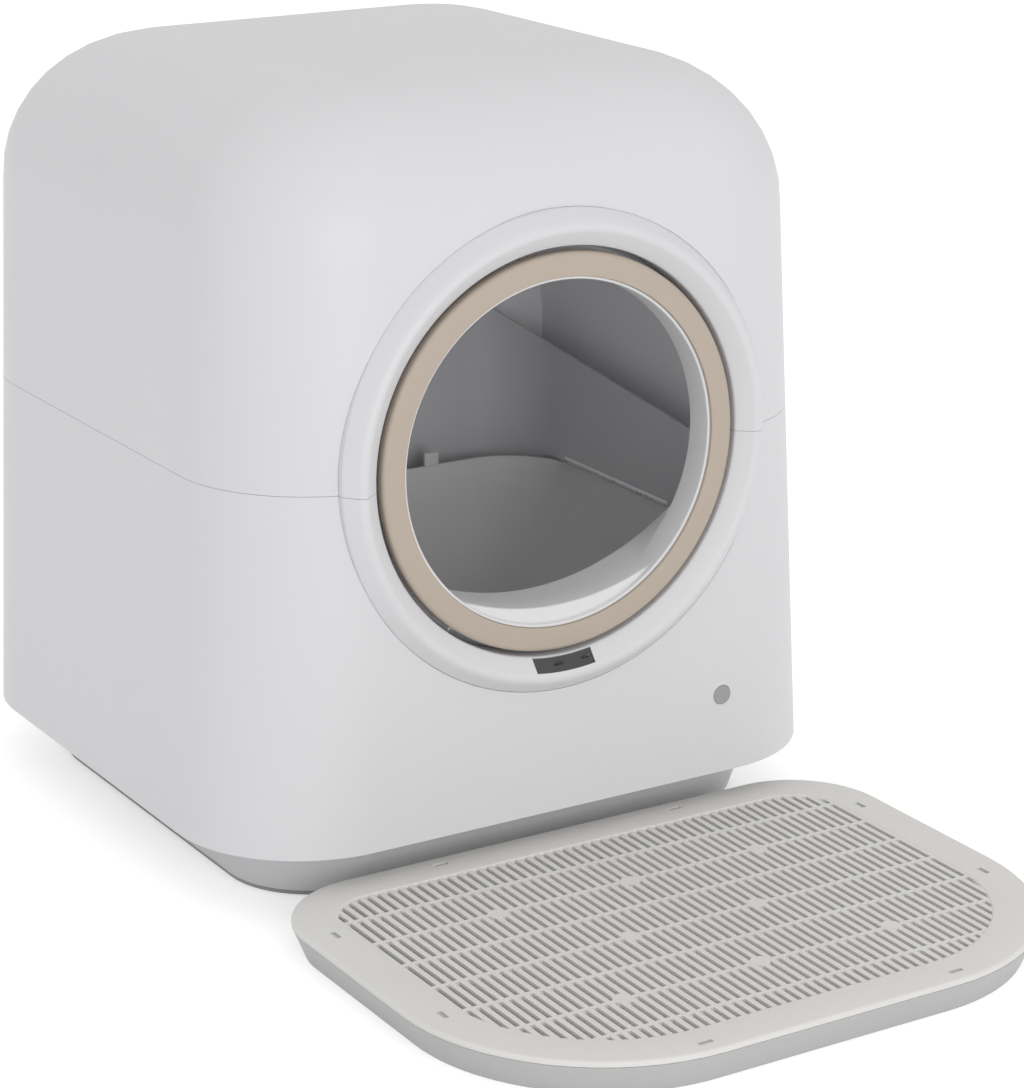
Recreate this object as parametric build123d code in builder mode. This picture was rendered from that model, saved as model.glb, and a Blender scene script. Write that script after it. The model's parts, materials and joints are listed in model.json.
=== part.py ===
from build123d import *
from math import atan2, cos, degrees, pi, radians, sin, sqrt, tan
import os

os.makedirs("parts", exist_ok=True)

# Self-cleaning litter box with a turning drum, a waste drawer and a step mat.
# Millimetres. +Z is up, the entry faces -Y, and the origin is on the floor,
# at the middle of the ground that the box and its mat cover together.

# Outer casing
casing_width = 518
casing_depth = 501
casing_low = 48
casing_top = 574
corner_radius = 103
corner_tightening = 0.69
top_round = 109
round_steps = 10
side_draft = 2.8
front_draft = 1
rear_draft = 0.2
wall = 3
lower_wall = 4
seat_gap = 0.2
seam_height = 311
seam_gap = 0.3
tongue_height = 8
tongue_thickness = 2.5
tongue_root = 12
tongue_width = 40
tongue_spacing = 190
fit_gap = 0.4
rest_gap = 0.3

# Plinth and ground ring
plinth_inset_low = 45
plinth_inset_high = 30
plinth_wall = 3
ground_ring_height = 4
ground_ring_width = 10
ground_ring_inset = 2
flange_thickness = 3
flange_drop = 2

# Step mat
mat_width = 486
mat_length = 357
mat_height = 26
mat_front_corner = 150
mat_rear_corner = 70
mat_taper = 9
mat_wall = 2.5
mat_tuck = 15
mat_rim_width = 33
mat_foot_spacing = 300
mat_top_thickness = 4
mat_field_drop = 1.2
rib_count = 7
rib_spacing = 39.7
rib_shift = 6
slot_width = 7
slot_pitch = 12
slot_margin = 3
rib_width = 4
rib_length = 380
clip_length = 11
clip_width = 4
side_clip_margin = 20
end_clip_margin = 12.5
side_clip_front = -45
side_clip_rear = 99
end_clip_half_spacing = 101
clip_gap = 0.5
clip_sunk = 1.2
foot_size = 18
foot_recess = 1.5

# Drum and entry
axis_height = 316
entry_setback = 1
ring_outer = 145
ring_inner = 127.5
ring_thickness = 9
ring_chamfer = 2
throat_inner = 125.5
throat_wall = 3
throat_length = 25
throat_flange = 138
ring_lead = 0.5
drum_radius = 195
drum_wall = 3
flare_end = 75
drum_split = 190
drum_back = 340
track_rise = 2
track_width = 18
front_track = 89
rear_track = 278
liner_level = 99
liner_wall = 2.5
liner_gap = 0.3
rim_band_height = 6
divider_offset = 167
divider_wall = 2.5
divider_corner = 60
divider_back = 308
divider_front = 76
divider_top_front = -24
divider_top_slope = 12.2
divider_reach = 300
sieve_height = 7
sieve_rail = 1.5
sieve_bar = 2.5
sieve_pitch = 12
guard_foot = 7
guard_reach = 30
guard_wall = 2.5
guard_crest_radius = 141
guard_crest_lift = 36
guard_half_width = 98
port_near_angle = 103
port_far_angle = 119
port_start = 112
port_length = 146

# Bezel round the entry
bezel_outer = 175
bezel_crest = 164
bezel_hole = 149
bezel_crest_forward = 8
bezel_crest_flat = 3
bezel_hole_recess = 2
bezel_return_depth = 20
bezel_wall = 2.5
window_half_angle = 9.5
window_thickness = 1.5

# Drive
gear_module = 5
gear_teeth = 84
pinion_teeth = 12
pressure_angle = 25
gear_backlash = 0.5
gear_width = 10
gear_start = 292
pinion_bearing = 225
shaft_radius = 4
shaft_clearance = 0.06
gearbox_size = 44
gearbox_depth = 34
motor_radius = 18
motor_length = 58
mount_plate = 4

# Rollers
roller_radius = 15
roller_width = 13
roller_angle = 38
roller_gap = 0.3
axle_radius = 3
axle_clearance = 0.06
axle_overhang = 0.8
ear_thickness = 3.5
ear_half_width = 9
ear_rise = 5
ear_gap = 0.8
ear_foot = 44

# Cradle and waste drawer
cradle_thickness = 3
cradle_margin = 14
cradle_window = 180
drawer_wall = 2.5
drawer_rim = 104
drawer_front_y = 106
drawer_length = 152
drawer_reach = 205
drawer_gap = 1
drawer_front_wall = 24
pocket_length = 84
pocket_height = 20
pocket_depth = 18
rail_height = 10
rail_thickness = 3

# Button, socket and vents
button_from_side = 118
button_height = 109
button_radius = 7.3
button_travel = 1.5
button_proud = 0.6
button_gap = 0.3
button_flange = 3
button_stem = 10
button_cross = 2
switch_width = 20
switch_depth = 12
switch_board = 2
socket_from_side = 139
socket_height = 82
socket_radius = 4
socket_body = 16
vent_count = 9
vent_pitch = 12
vent_width = 4
vent_height = 34
vent_level = 150

# Circuit boards
board_from_side = 114
board_from_rear = 84
board_width = 90
board_length = 60
board_thickness = 1.6
board_lift = 5
board_spacer = 7

# Places that follow from the sizes above
button_x = casing_width / 2 - button_from_side
socket_x = casing_width / 2 - socket_from_side
board_x = casing_width / 2 - board_from_side
spring_line = casing_top - top_round
overall_length = casing_depth + mat_length - mat_tuck
casing_rear = overall_length / 2
front = casing_rear - casing_depth
casing_middle = front + casing_depth / 2
entry_y = front + entry_setback
mat_rear = front + mat_tuck
mat_middle = mat_rear - mat_length / 2
flange_level = casing_low + flange_drop
flange_top = flange_level + flange_thickness
cradle_top = flange_top + cradle_thickness
track_radius = drum_radius + drum_wall + track_rise
drum_outer = drum_radius + drum_wall

drum_axis = Axis((0, 0, axis_height), (0, 1, 0))
drum_section = Plane(origin=(0, entry_y, axis_height), x_dir=(0, 1, 0), z_dir=(1, 0, 0))
entry_plane = Plane(origin=(0, entry_y, axis_height), x_dir=(1, 0, 0), z_dir=(0, -1, 0))


def save(builder, name):
    builder.part.label = name
    export_step(builder.part, f"parts/{name}.step")


def entry_disc_plane(depth):
    """Plane across the drum axis, at a depth behind the entry, facing the user."""
    return entry_plane.offset(-depth)


def draft_loss(level, angle):
    """How far the draft has moved a straight casing wall in at a height."""
    return tan(radians(angle)) * (level - casing_low)


def front_face(level):
    """The casing's outer front face at a height of its straight part."""
    return front + draft_loss(level, front_draft)


def rear_face(level):
    """The casing's outer rear face at a height of its straight part."""
    return casing_rear - draft_loss(level, rear_draft)


def rounded_outline(level, half_x, near, far, radius):
    """Rounded rectangle between two depths, at a height."""
    with BuildSketch(Plane.XY.offset(level)) as outline:
        with Locations((0, (near + far) / 2)):
            RectangleRounded(2 * half_x, far - near, radius)
    return outline.sketch


def casing_outline(level, inset):
    """Outline of the casing's straight part at a height, moved in by an inset."""
    return rounded_outline(level, casing_width / 2 - draft_loss(level, side_draft) - inset,
                           front_face(level) + inset, rear_face(level) - inset, corner_radius - inset)


def dome_outline(turn, inset):
    """Outline of the rounded top where its profile has turned by an angle, moved in by an inset."""
    pulled = top_round * (1 - cos(radians(turn)))
    moved = pulled + inset * cos(radians(turn))
    level = spring_line + (top_round - inset) * sin(radians(turn))
    return rounded_outline(level, casing_width / 2 - draft_loss(spring_line, side_draft) - moved,
                           front_face(spring_line) + moved, rear_face(spring_line) - moved,
                           corner_radius - corner_tightening * pulled - inset * cos(radians(turn)))


def straight_block(inset, low, high):
    """Solid within the casing's drafted walls moved in by an inset, between two heights."""
    half_low, half_high = (casing_width / 2 - draft_loss(level, side_draft) - inset for level in (low, high))
    with BuildPart() as block:
        with BuildSketch(Plane.XZ.offset(-casing_rear)):
            with BuildLine():
                Polyline((-half_low, low), (half_low, low), (half_high, high), (-half_high, high), close=True)
            make_face()
        extrude(amount=casing_depth)
        with BuildSketch(Plane.YZ.offset(-casing_width)):
            with BuildLine():
                Polyline((front_face(low) + inset, low), (rear_face(low) - inset, low),
                         (rear_face(high) - inset, high), (front_face(high) + inset, high), close=True)
            make_face()
        extrude(amount=2 * casing_width, mode=Mode.INTERSECT)
        fillet([edge for edge in block.edges() if abs(edge.tangent_at(0.5).Z) > 0.9], corner_radius - inset)
    return block.part


def casing_block(inset, low):
    """Solid within the casing's outer face moved in by an inset, from a height to the top."""
    straight = straight_block(inset, low, spring_line)
    turns = [90 * step / round_steps for step in range(1, round_steps + 1)]
    with BuildPart() as block:
        add(straight)
        loft(sections=[straight.faces().sort_by(Axis.Z)[-1]] + [dome_outline(turn, inset) for turn in turns],
             ruled=True)
    return block.part


def revolved(points):
    """Body of revolution about the drum axis from (depth, radius) points."""
    with BuildPart() as body:
        with BuildSketch(drum_section):
            with BuildLine():
                Polyline(*points, close=True)
            make_face()
        revolve(axis=drum_axis)
    return body.part


# Casing shells
outer_block = casing_block(0, casing_low)
inner_block = casing_block(wall, casing_low)
lower_outer_block = straight_block(0, casing_low, seam_height)
lower_inner_block = straight_block(lower_wall, casing_low, seam_height)

bezel_foot = front_face(axis_height + bezel_outer) - entry_y + wall + 6
bezel_profile = [
    (bezel_foot, bezel_outer), (bezel_hole_recess, bezel_outer),
    (-bezel_crest_forward, bezel_crest + bezel_crest_flat / 2),
    (-bezel_crest_forward, bezel_crest - bezel_crest_flat / 2), (bezel_hole_recess, bezel_hole),
    (bezel_return_depth, bezel_hole), (bezel_return_depth, bezel_hole + bezel_wall),
    (bezel_hole_recess + bezel_wall, bezel_hole + bezel_wall),
    (-bezel_crest_forward + bezel_wall * 1.6, bezel_crest),
    (bezel_hole_recess + bezel_wall, bezel_outer - bezel_wall),
    (bezel_foot, bezel_outer - bezel_wall),
]
bezel_ring = revolved(bezel_profile)

tongue_low = seam_height - tongue_root
tongue_high = seam_height + tongue_height
with BuildPart() as seam_tongues:
    add(straight_block(wall + fit_gap, tongue_low, tongue_high))
    add(straight_block(wall + fit_gap + tongue_thickness, tongue_low, tongue_high), mode=Mode.SUBTRACT)
    with BuildSketch(Plane.XY.offset(tongue_low)):
        with Locations((0, casing_middle - tongue_spacing / 2), (0, casing_middle + tongue_spacing / 2)):
            Rectangle(casing_width, tongue_width)
        with Locations((-tongue_spacing / 2, casing_rear), (tongue_spacing / 2, casing_rear)):
            Rectangle(tongue_width, casing_depth / 2)
    extrude(amount=tongue_high - tongue_low, mode=Mode.INTERSECT)

with BuildPart() as upper_cover:
    add(outer_block)
    add(inner_block, mode=Mode.SUBTRACT)
    split(bisect_by=Plane.XY.offset(seam_height + seam_gap), keep=Keep.TOP)
    with BuildSketch(entry_disc_plane(-40)):
        Circle(bezel_outer + seat_gap)
    extrude(amount=-110, mode=Mode.SUBTRACT)
save(upper_cover, "upper_cover")

# The bezel's upper half is moulded with the cover; its two quarters meet at the top
bezel_crown = split(bezel_ring, bisect_by=Plane.XY.offset(seam_height + seam_gap), keep=Keep.TOP)
with BuildPart() as upper_bezel_left:
    add(split(bezel_crown, bisect_by=Plane.YZ.offset(-seat_gap / 2), keep=Keep.BOTTOM))
save(upper_bezel_left, "upper_bezel_left")

with BuildPart() as upper_bezel_right:
    add(split(bezel_crown, bisect_by=Plane.YZ.offset(seat_gap / 2), keep=Keep.TOP))
save(upper_bezel_right, "upper_bezel_right")

# Waste drawer front and its window share one outline in the side wall
drawer_mid_y = entry_y + drawer_front_y + drawer_length / 2
drawer_face_low = cradle_top - 1
drawer_face_high = drawer_rim + 6
drawer_face_plane = Plane(origin=(0, drawer_mid_y, (drawer_face_low + drawer_face_high) / 2),
                          x_dir=(0, 1, 0), z_dir=(1, 0, 0))
drawer_face_length = drawer_length + 14
drawer_face_height = drawer_face_high - drawer_face_low


def drawer_opening(margin):
    """Prism through the right side wall, as large as the drawer front plus a margin."""
    with BuildPart() as prism:
        with BuildSketch(drawer_face_plane.offset(casing_width / 2 - 40)):
            RectangleRounded(drawer_face_length + 2 * margin, drawer_face_height + 2 * margin, 8 + margin)
        extrude(amount=60)
    return prism.part


button_plane = Plane(origin=(button_x, front, button_height), x_dir=(1, 0, 0), z_dir=(0, -1, 0))
button_face = front_face(button_height) - front
socket_plane = Plane(origin=(socket_x, casing_rear, socket_height), x_dir=(-1, 0, 0), z_dir=(0, 1, 0))

with BuildPart() as lower_casing:
    add(lower_outer_block)
    add(lower_inner_block, mode=Mode.SUBTRACT)
    add(seam_tongues.part)
    with BuildSketch(entry_disc_plane(-40)):
        Circle(bezel_outer + seat_gap)
    extrude(amount=-110, mode=Mode.SUBTRACT)
    add(drawer_opening(drawer_gap), mode=Mode.SUBTRACT)
    with BuildSketch(button_plane.offset(10)):
        Circle(button_radius + button_gap)
    extrude(amount=-40, mode=Mode.SUBTRACT)
    with BuildSketch(socket_plane.offset(5)):
        Circle(socket_radius + 1.5)
    extrude(amount=-30, mode=Mode.SUBTRACT)
    with BuildSketch(Plane(origin=(0, casing_rear + 5, vent_level), x_dir=(-1, 0, 0), z_dir=(0, 1, 0))):
        with GridLocations(vent_pitch, 0, vent_count, 1):
            Rectangle(vent_width, vent_height)
    extrude(amount=-30, mode=Mode.SUBTRACT)
save(lower_casing, "lower_casing")


def flank_point(share):
    """Point of the bezel's inner flank, from its hole edge at 0 to its crest at 1."""
    depth = bezel_hole_recess - share * (bezel_hole_recess + bezel_crest_forward)
    return depth, bezel_hole + share * (bezel_crest - bezel_crest_flat / 2 - bezel_hole)


window_low = flank_point(0.1)
window_high = flank_point(0.8)
flank_angle = atan2(bezel_crest - bezel_crest_flat / 2 - bezel_hole, bezel_hole_recess + bezel_crest_forward)
window_half_width = bezel_hole * sin(radians(window_half_angle))


def flank_ring(thickness, low, high, sunk=0):
    """Ring let into the bezel's inner flank, between two points of it, sunk below its face."""
    near = (sunk * sin(flank_angle), sunk * cos(flank_angle))
    deep = ((sunk + thickness) * sin(flank_angle), (sunk + thickness) * cos(flank_angle))
    return revolved([(low[0] + near[0], low[1] + near[1]), (high[0] + near[0], high[1] + near[1]),
                     (high[0] + deep[0], high[1] + deep[1]), (low[0] + deep[0], low[1] + deep[1])])


def six_o_clock(body, half_width):
    """The stretch of a ring at its lowest point, between two upright cuts."""
    with BuildPart() as stretch:
        add(body)
        with BuildSketch(entry_disc_plane(-60)):
            with Locations((0, -bezel_outer)):
                Rectangle(2 * half_width, bezel_outer)
        extrude(amount=-200, mode=Mode.INTERSECT)
    return stretch.part


with BuildPart() as display_window:
    add(six_o_clock(flank_ring(window_thickness, window_low, window_high), window_half_width))
save(display_window, "display_window")

with BuildPart() as display_board:
    sensor_strip = flank_ring(board_thickness, window_low, window_high, window_thickness)
    add(six_o_clock(sensor_strip, window_half_width))
save(display_board, "display_board")

with BuildPart() as lower_bezel:
    add(split(bezel_ring, bisect_by=Plane.XY.offset(seam_height), keep=Keep.BOTTOM))
    add(display_window.part, mode=Mode.SUBTRACT)
    add(display_board.part, mode=Mode.SUBTRACT)
save(lower_bezel, "lower_bezel")

# Base: ground ring, plinth tray and cradle


def plinth_outline(level, inset):
    """Outline of the tapered plinth's foot moved in by an inset, placed at a height."""
    moved = plinth_inset_low + inset
    return rounded_outline(level, casing_width / 2 - moved, front + moved, casing_rear - moved,
                           corner_radius - moved * 0.75)


def ring_plate(outer, inner, thickness):
    """Flat plate between two outlines at one height."""
    with BuildPart() as plate:
        extrude(outer, amount=thickness)
        extrude(inner, amount=thickness, mode=Mode.SUBTRACT)
    return plate.part


plinth_height = flange_level - ground_ring_height
plinth_rate = (plinth_inset_low - plinth_inset_high) / plinth_height
plinth_slope = degrees(atan2(plinth_rate, 1))
plinth_top_inset = plinth_inset_high - plinth_inset_low + plinth_wall
ground_outer = plinth_outline(0, ground_ring_inset)
ground_inner = plinth_outline(0, ground_ring_inset + ground_ring_width)
with BuildPart() as ground_ring:
    add(ring_plate(ground_outer, ground_inner, ground_ring_height))
save(ground_ring, "ground_ring")

with BuildPart() as plinth:
    extrude(plinth_outline(ground_ring_height, 0), amount=plinth_height, taper=-plinth_slope)
    extrude(plinth_outline(ground_ring_height + plinth_wall, plinth_wall - plinth_wall * plinth_rate),
            amount=plinth_height, taper=-plinth_slope, mode=Mode.SUBTRACT)
    add(ring_plate(casing_outline(flange_level, lower_wall + seat_gap),
                   plinth_outline(flange_level, plinth_top_inset), flange_thickness))
save(plinth, "plinth")

roller_orbit = track_radius + roller_radius + roller_gap
roller_x = roller_orbit * sin(radians(roller_angle))
roller_z = axis_height - roller_orbit * cos(radians(roller_angle))
pinion_orbit = gear_module * (gear_teeth + pinion_teeth) / 2
pinion_x = pinion_orbit * cos(radians(pinion_bearing))
pinion_z = axis_height + pinion_orbit * sin(radians(pinion_bearing))
mount_start = gear_start + gear_width + 4
ear_offset = roller_width / 2 + ear_gap


def ear_outline(plane, side):
    """Tapered roller ear standing on the cradle, with an open seat for the shaft."""
    with BuildSketch(plane) as outline:
        with BuildLine():
            Polyline((side * roller_x - ear_foot / 2, cradle_top),
                     (side * roller_x + ear_foot / 2, cradle_top),
                     (side * roller_x + ear_half_width, roller_z + ear_rise),
                     (side * roller_x - ear_half_width, roller_z + ear_rise), close=True)
        make_face()
        with Locations((side * roller_x, roller_z + ear_rise)):
            Rectangle(2 * (axle_radius + axle_clearance), 2 * (ear_rise + axle_radius + axle_clearance),
                      mode=Mode.SUBTRACT)
    return outline.sketch


def upright_plane(depth):
    """Plane across the drum axis through the world's X and Z, facing the user."""
    return Plane(origin=(0, entry_y + depth, 0), x_dir=(1, 0, 0), z_dir=(0, -1, 0))


with BuildPart() as cradle:
    extrude(casing_outline(flange_top, cradle_margin), amount=cradle_thickness)
    with BuildSketch(Plane.XY.offset(flange_top)):
        with Locations((0, casing_middle)):
            with GridLocations(cradle_window, casing_depth / 3.6, 1, 3):
                Rectangle(cradle_window, casing_depth / 5.5)
    extrude(amount=cradle_thickness, mode=Mode.SUBTRACT)
    for track in (front_track, rear_track):
        for side in (-1, 1):
            for depth in (track - ear_offset - ear_thickness, track + ear_offset):
                extrude(ear_outline(upright_plane(depth), side), amount=-ear_thickness)
    with BuildSketch(Plane.XY.offset(cradle_top)):
        for y in (entry_y + drawer_front_y - drawer_gap - rail_thickness / 2,
                  entry_y + drawer_front_y + drawer_length + drawer_gap + rail_thickness / 2):
            with Locations((0, y)):
                Rectangle(2 * drawer_reach, rail_thickness)
    extrude(amount=rail_height)
save(cradle, "cradle")

with BuildPart() as motor_mount:
    with BuildSketch(upright_plane(mount_start)):
        with Locations((pinion_x, (cradle_top + pinion_z + gearbox_size / 2) / 2)):
            Rectangle(gearbox_size, pinion_z + gearbox_size / 2 - cradle_top)
        with Locations((pinion_x, pinion_z)):
            Circle(shaft_radius + 4, mode=Mode.SUBTRACT)
        with Locations((0, axis_height)):
            Circle(drum_outer + 6, mode=Mode.SUBTRACT)
    extrude(amount=-mount_plate)
    with BuildSketch(Plane.XY.offset(cradle_top)):
        with Locations((pinion_x, entry_y + mount_start + 16)):
            Rectangle(gearbox_size, 32)
    extrude(amount=mount_plate)
save(motor_mount, "motor_mount")

gearbox_start = mount_start + mount_plate
shaft_end = gearbox_start + gearbox_depth - 6
with BuildPart() as gearbox:
    with BuildSketch(upright_plane(gearbox_start)) as gearbox_outline:
        with Locations((pinion_x, pinion_z)):
            Rectangle(gearbox_size, gearbox_size)
        chamfer(gearbox_outline.vertices(), 6)
    extrude(amount=-gearbox_depth)
    with BuildSketch(upright_plane(gearbox_start)):
        with Locations((pinion_x, pinion_z)):
            Circle(shaft_radius + shaft_clearance)
    extrude(amount=-(gearbox_depth - 5), mode=Mode.SUBTRACT)
save(gearbox, "gearbox")

with BuildPart() as drive_motor:
    with BuildSketch(upright_plane(gearbox_start + gearbox_depth)):
        with Locations((pinion_x, pinion_z)):
            Circle(motor_radius)
    extrude(amount=-motor_length)
save(drive_motor, "drive_motor")


# Gears


def involute_angle(base, radius):
    """Involute angle at a radius, in radians, from the base circle's radius."""
    if radius <= base:
        return 0
    slope = sqrt((radius / base)**2 - 1)
    return slope - atan2(slope, 1)


def gear_points(teeth, first_tooth, steps):
    """Outline of a gear with involute flanks, its first tooth at an angle in degrees."""
    pitch = gear_module * teeth / 2
    base = pitch * cos(radians(pressure_angle))
    root = pitch - 1.25 * gear_module
    tip = pitch + gear_module
    half_tooth = pi / (2 * teeth) - gear_backlash / (4 * pitch) + involute_angle(base, pitch)
    foot = max(root, base)
    radii = [root] + [foot + (tip - foot) * step / steps for step in range(1, steps + 1)]
    points = []
    for tooth in range(teeth):
        middle = radians(first_tooth) + 2 * pi * tooth / teeth
        for side, order in ((-1, radii), (1, list(reversed(radii)))):
            for radius in order:
                turn = middle + side * (half_tooth - involute_angle(base, radius))
                points.append((radius * cos(turn), radius * sin(turn)))
    return points


with BuildPart() as ring_gear:
    with BuildSketch(entry_disc_plane(gear_start)):
        with BuildLine():
            Polyline(*gear_points(gear_teeth, pinion_bearing, 1), close=True)
        make_face()
        Circle(drum_outer, mode=Mode.SUBTRACT)
    extrude(amount=-gear_width)
save(ring_gear, "ring_gear")

with BuildPart() as drive_pinion:
    with BuildSketch(Plane(origin=(pinion_x, entry_y + gear_start, pinion_z),
                           x_dir=(1, 0, 0), z_dir=(0, -1, 0))):
        with BuildLine():
            Polyline(*gear_points(pinion_teeth, pinion_bearing - 180 + 180 / pinion_teeth, 2), close=True)
        make_face()
    extrude(amount=-gear_width)
    with BuildSketch(upright_plane(gear_start)):
        with Locations((pinion_x, pinion_z)):
            Circle(shaft_radius)
    extrude(amount=-(shaft_end - gear_start))
save(drive_pinion, "drive_pinion")

# Rollers, a front and a rear one on each turning shaft
axle_start = front_track - ear_offset - ear_thickness - axle_overhang
for side, hand in ((-1, "left"), (1, "right")):
    with BuildPart() as roller_set:
        with BuildSketch(upright_plane(axle_start)):
            with Locations((side * roller_x, roller_z)):
                Circle(axle_radius)
        extrude(amount=-(rear_track - front_track + 2 * (ear_offset + ear_thickness + axle_overhang)))
        for track in (front_track, rear_track):
            with BuildSketch(upright_plane(track - roller_width / 2)):
                with Locations((side * roller_x, roller_z)):
                    Circle(roller_radius)
            extrude(amount=-roller_width)
    save(roller_set, f"rollers_{hand}")

# Entry ring, throat and litter guard turn with the drum
with BuildPart() as entry_ring:
    add(revolved([(0, ring_inner), (0, ring_outer - ring_chamfer), (ring_chamfer, ring_outer),
                  (ring_thickness, ring_outer), (ring_thickness, ring_inner)]))
save(entry_ring, "entry_ring")

with BuildPart() as throat:
    add(revolved([(ring_lead, throat_inner), (throat_length, throat_inner), (throat_length, throat_flange),
                  (throat_length - throat_wall, throat_flange), (throat_length - throat_wall, ring_inner),
                  (ring_lead, ring_inner)]))
save(throat, "throat")

with BuildPart() as litter_guard:
    add(revolved([(guard_foot, throat_inner), (guard_reach, throat_inner - guard_reach + guard_foot),
                  (guard_reach, throat_inner - guard_reach + guard_foot + guard_wall * 1.4),
                  (guard_foot + guard_wall * 1.4, throat_inner)]))
    with BuildSketch(entry_disc_plane(-5)) as crest:
        with Locations((0, -throat_inner)):
            Rectangle(2 * guard_half_width, throat_inner * 1.4)
        with Locations((0, guard_crest_lift)):
            Circle(guard_crest_radius, mode=Mode.SUBTRACT)
        fillet(crest.vertices().group_by(Axis.Y)[-1], 8)
    extrude(amount=-60, mode=Mode.INTERSECT)
save(litter_guard, "litter_guard")

# Drum shells


def drum_band(start, width, low, high):
    """Plain band about the drum axis."""
    return revolved([(start, low), (start + width, low), (start + width, high), (start, high)])


flare_start = ring_outer + 1
with BuildPart() as waste_port:
    with BuildSketch(entry_disc_plane(port_start)):
        reach = drum_outer * 1.3
        with BuildLine():
            Polyline((0, 0), (reach * sin(radians(port_near_angle)), reach * cos(radians(port_near_angle))),
                     (reach * sin(radians(port_far_angle)), reach * cos(radians(port_far_angle))), close=True)
        make_face()
    extrude(amount=-port_length)

with BuildPart() as drum_front:
    add(revolved([(throat_length, throat_inner + throat_wall), (throat_length, flare_start),
                  (flare_end - 4, drum_outer), (drum_split, drum_outer), (drum_split, drum_radius),
                  (flare_end - 2.5, drum_radius), (throat_length + drum_wall, flare_start - 1.3),
                  (throat_length + drum_wall, throat_inner + throat_wall)]))
    add(drum_band(front_track - track_width / 2, track_width, drum_radius + 1, track_radius))
    add(waste_port.part, mode=Mode.SUBTRACT)
save(drum_front, "drum_front")

with BuildPart() as drum_rear:
    add(revolved([(drum_split, drum_outer), (drum_back + drum_wall, drum_outer), (drum_back + drum_wall, 0),
                  (drum_back, 0), (drum_back, drum_radius), (drum_split, drum_radius)]))
    add(drum_band(rear_track - track_width / 2, track_width, drum_radius + 1, track_radius))
    add(waste_port.part, mode=Mode.SUBTRACT)
save(drum_rear, "drum_rear")


# Litter liner and divider inside the drum


def tub_region(inset, high):
    """Space of the litter tub: inside the drum, within its plan and its rounded back, moved in."""
    with BuildPart() as region:
        add(revolved([(guard_reach + liner_gap + inset, 0),
                      (guard_reach + liner_gap + inset, flare_start - 2 - inset),
                      (flare_end - 2 + inset, drum_radius - liner_gap - inset),
                      (divider_back + 5, drum_radius - liner_gap - inset), (divider_back + 5, 0)]))
        with BuildSketch(Plane.XY.offset(axis_height - drum_outer)) as plan:
            with Locations((0, entry_y + (divider_back - inset) / 2)):
                Rectangle(2 * (divider_offset - inset), divider_back - inset)
            fillet(plan.vertices().group_by(Axis.Y)[-1], divider_corner - inset)
        extrude(amount=drum_outer + high, mode=Mode.INTERSECT)
        with BuildSketch(drum_section.offset(-drum_outer)) as side:
            with BuildLine():
                Polyline((0, drum_outer), (0, -drum_radius - 10), (divider_back - inset, -drum_radius - 10),
                         (divider_back - inset, drum_outer), close=True)
            make_face()
            fillet(side.vertices().group_by(Axis.X)[-1].sort_by(Axis.Y)[0], drum_radius - liner_level + 10)
        extrude(amount=2 * drum_outer, mode=Mode.INTERSECT)
    return region.part


rim_level = rim_band_height - liner_level
with BuildPart() as litter_liner:
    add(tub_region(0, rim_level))
    add(tub_region(liner_wall, rim_level + 5), mode=Mode.SUBTRACT)
save(litter_liner, "litter_liner")


def sieve_window(height):
    """Box along the right wall of the divider, from the liner's rim up, as long as the port."""
    with BuildPart() as window:
        with BuildSketch(Plane.XY.offset(axis_height + rim_level)):
            with Locations((divider_offset - divider_wall / 2, entry_y + port_start + port_length / 2)):
                Rectangle(divider_wall, port_length)
        extrude(amount=height)
    return window.part


with BuildPart() as divider:
    for inset, way in ((0, Mode.ADD), (divider_wall, Mode.SUBTRACT)):
        with BuildSketch(Plane.XY.offset(axis_height + rim_level)) as plan:
            with Locations((0, entry_y + (divider_back - inset) / 2)):
                Rectangle(2 * (divider_offset - inset), divider_back - inset)
            fillet(plan.vertices().group_by(Axis.Y)[-1], divider_corner - inset)
        extrude(amount=drum_radius, mode=way)
    with BuildSketch(drum_section.offset(-drum_outer)):
        with BuildLine():
            top_rise = (divider_back - divider_front) * tan(radians(divider_top_slope))
            Polyline((divider_front, rim_level), (divider_back + 1, rim_level),
                     (divider_back + 1, divider_top_front + top_rise), (divider_front, divider_top_front),
                     close=True)
        make_face()
    extrude(amount=2 * drum_outer, mode=Mode.INTERSECT)
    with BuildSketch(Plane.XY.offset(axis_height + rim_level)):
        with Locations((divider_offset - divider_reach / 2, entry_y + divider_back / 2)):
            Rectangle(divider_reach, divider_back * 1.2)
    extrude(amount=drum_radius, mode=Mode.INTERSECT)
    add(sieve_window(sieve_height), mode=Mode.SUBTRACT)
save(divider, "divider")

with BuildPart() as sieve_grate:
    add(sieve_window(sieve_height))
    with BuildSketch(drum_section.offset(divider_offset + 1)):
        with Locations((port_start + port_length / 2, rim_level + (sieve_height - sieve_rail) / 2)):
            with GridLocations(sieve_pitch, 0, int(port_length / sieve_pitch), 1):
                Rectangle(sieve_pitch - sieve_bar, sieve_height - sieve_rail)
    extrude(amount=-(divider_wall + 2), mode=Mode.SUBTRACT)
save(sieve_grate, "sieve_grate")

# Waste drawer
drawer_low = cradle_top + rest_gap
drawer_pull = Plane(origin=(casing_width / 2, drawer_mid_y, drawer_rim - pocket_height),
                    x_dir=(0, 1, 0), z_dir=(1, 0, 0))


def pocket(depth):
    """Finger pocket let into the drawer from its face."""
    with BuildPart() as hollow:
        with BuildSketch(drawer_pull) as mouth:
            Rectangle(pocket_length, pocket_height)
            chamfer(mouth.vertices(), pocket_height / 3)
        extrude(amount=-depth)
    return hollow.part


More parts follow.
